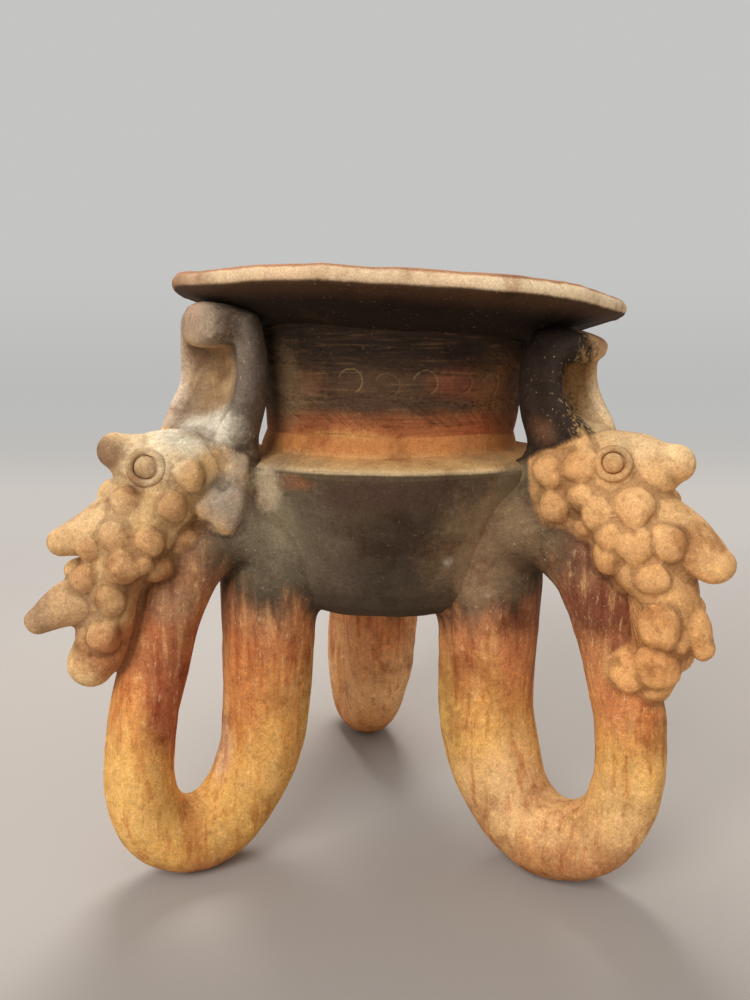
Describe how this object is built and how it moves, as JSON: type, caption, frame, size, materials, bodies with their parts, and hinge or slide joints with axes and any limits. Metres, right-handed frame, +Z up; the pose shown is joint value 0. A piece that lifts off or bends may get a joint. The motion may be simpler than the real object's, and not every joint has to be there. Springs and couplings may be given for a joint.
{
  "type": "terracotta tripod vessel",
  "caption": "Hand-built fired clay bowl with a flaring tilted rim on looped legs, each topped by an open-jawed saurian head with applied pellets and a channelled crest up to the rim.",
  "frame": {"origin": "on the floor under the middle of the vessel's bounding box", "axes": "+Z up; -Y is the front, with the left and right legs; +X to the viewer's right"},
  "size_m": [0.2614, 0.2446, 0.2487],
  "materials": {
    "smoked_clay": "burnished and smoked dark",
    "buff_clay": "matt yellow-buff",
    "banded_clay": "matt, smoked dark over orange",
    "rim_clay": "worn light brown lip",
    "leg_clay": "matt red-orange to yellow-buff",
    "grey_crest_clay": "matt grey-buff",
    "blackened_crest_clay": "matt, soot-blackened over tan",
    "cream_head_clay": "matt cream-ochre",
    "tan_head_clay": "matt tan-ochre",
    "orange_head_clay": "matt orange-tan"
  },
  "bodies": {
    "root": {"base_disc": "smoked_clay", "body_wall": "smoked_clay", "shoulder_ledge": "buff_clay", "neck_wall": "banded_clay", "rim_flange": "rim_clay", "left_leg": "leg_clay", "left_head": "cream_head_clay", "left_crest": "grey_crest_clay", "left_eye_ring_a": "cream_head_clay", "left_eyeball_a": "cream_head_clay", "left_pellet_a1": "cream_head_clay", "left_pellet_a2": "cream_head_clay", "left_pellet_a3": "cream_head_clay", "left_pellet_a4": "cream_head_clay", "left_pellet_a5": "cream_head_clay", "left_pellet_a6": "cream_head_clay", "left_pellet_a7": "cream_head_clay", "left_pellet_a8": "cream_head_clay", "left_pellet_a9": "cream_head_clay", "left_eye_ring_b": "cream_head_clay", "left_eyeball_b": "cream_head_clay", "left_pellet_b1": "cream_head_clay", "left_pellet_b2": "cream_head_clay", "left_pellet_b3": "cream_head_clay", "left_pellet_b4": "cream_head_clay", "right_leg": "leg_clay", "right_head": "tan_head_clay", "right_crest": "blackened_crest_clay", "right_eye_ring_a": "tan_head_clay", "right_eyeball_a": "tan_head_clay", "right_pellet_a1": "tan_head_clay", "right_pellet_a2": "tan_head_clay", "right_pellet_a3": "tan_head_clay", "right_pellet_a4": "tan_head_clay", "right_pellet_a5": "tan_head_clay", "right_pellet_a6": "tan_head_clay", "right_pellet_a7": "tan_head_clay", "right_pellet_a8": "tan_head_clay", "right_pellet_a9": "tan_head_clay", "right_eye_ring_b": "tan_head_clay", "right_eyeball_b": "tan_head_clay", "right_pellet_b1": "tan_head_clay", "right_pellet_b2": "tan_head_clay", "right_pellet_b3": "tan_head_clay", "right_pellet_b4": "tan_head_clay", "rear_leg": "leg_clay", "rear_head": "orange_head_clay", "rear_crest": "blackened_crest_clay", "rear_eye_ring_a": "orange_head_clay", "rear_eyeball_a": "orange_head_clay", "rear_pellet_a1": "orange_head_clay", "rear_pellet_a2": "orange_head_clay", "rear_pellet_a3": "orange_head_clay", "rear_pellet_a4": "orange_head_clay", "rear_eye_ring_b": "orange_head_clay", "rear_eyeball_b": "orange_head_clay", "rear_pellet_b1": "orange_head_clay", "rear_pellet_b2": "orange_head_clay", "rear_pellet_b3": "orange_head_clay", "rear_pellet_b4": "orange_head_clay"}
  },
  "joints": []
}
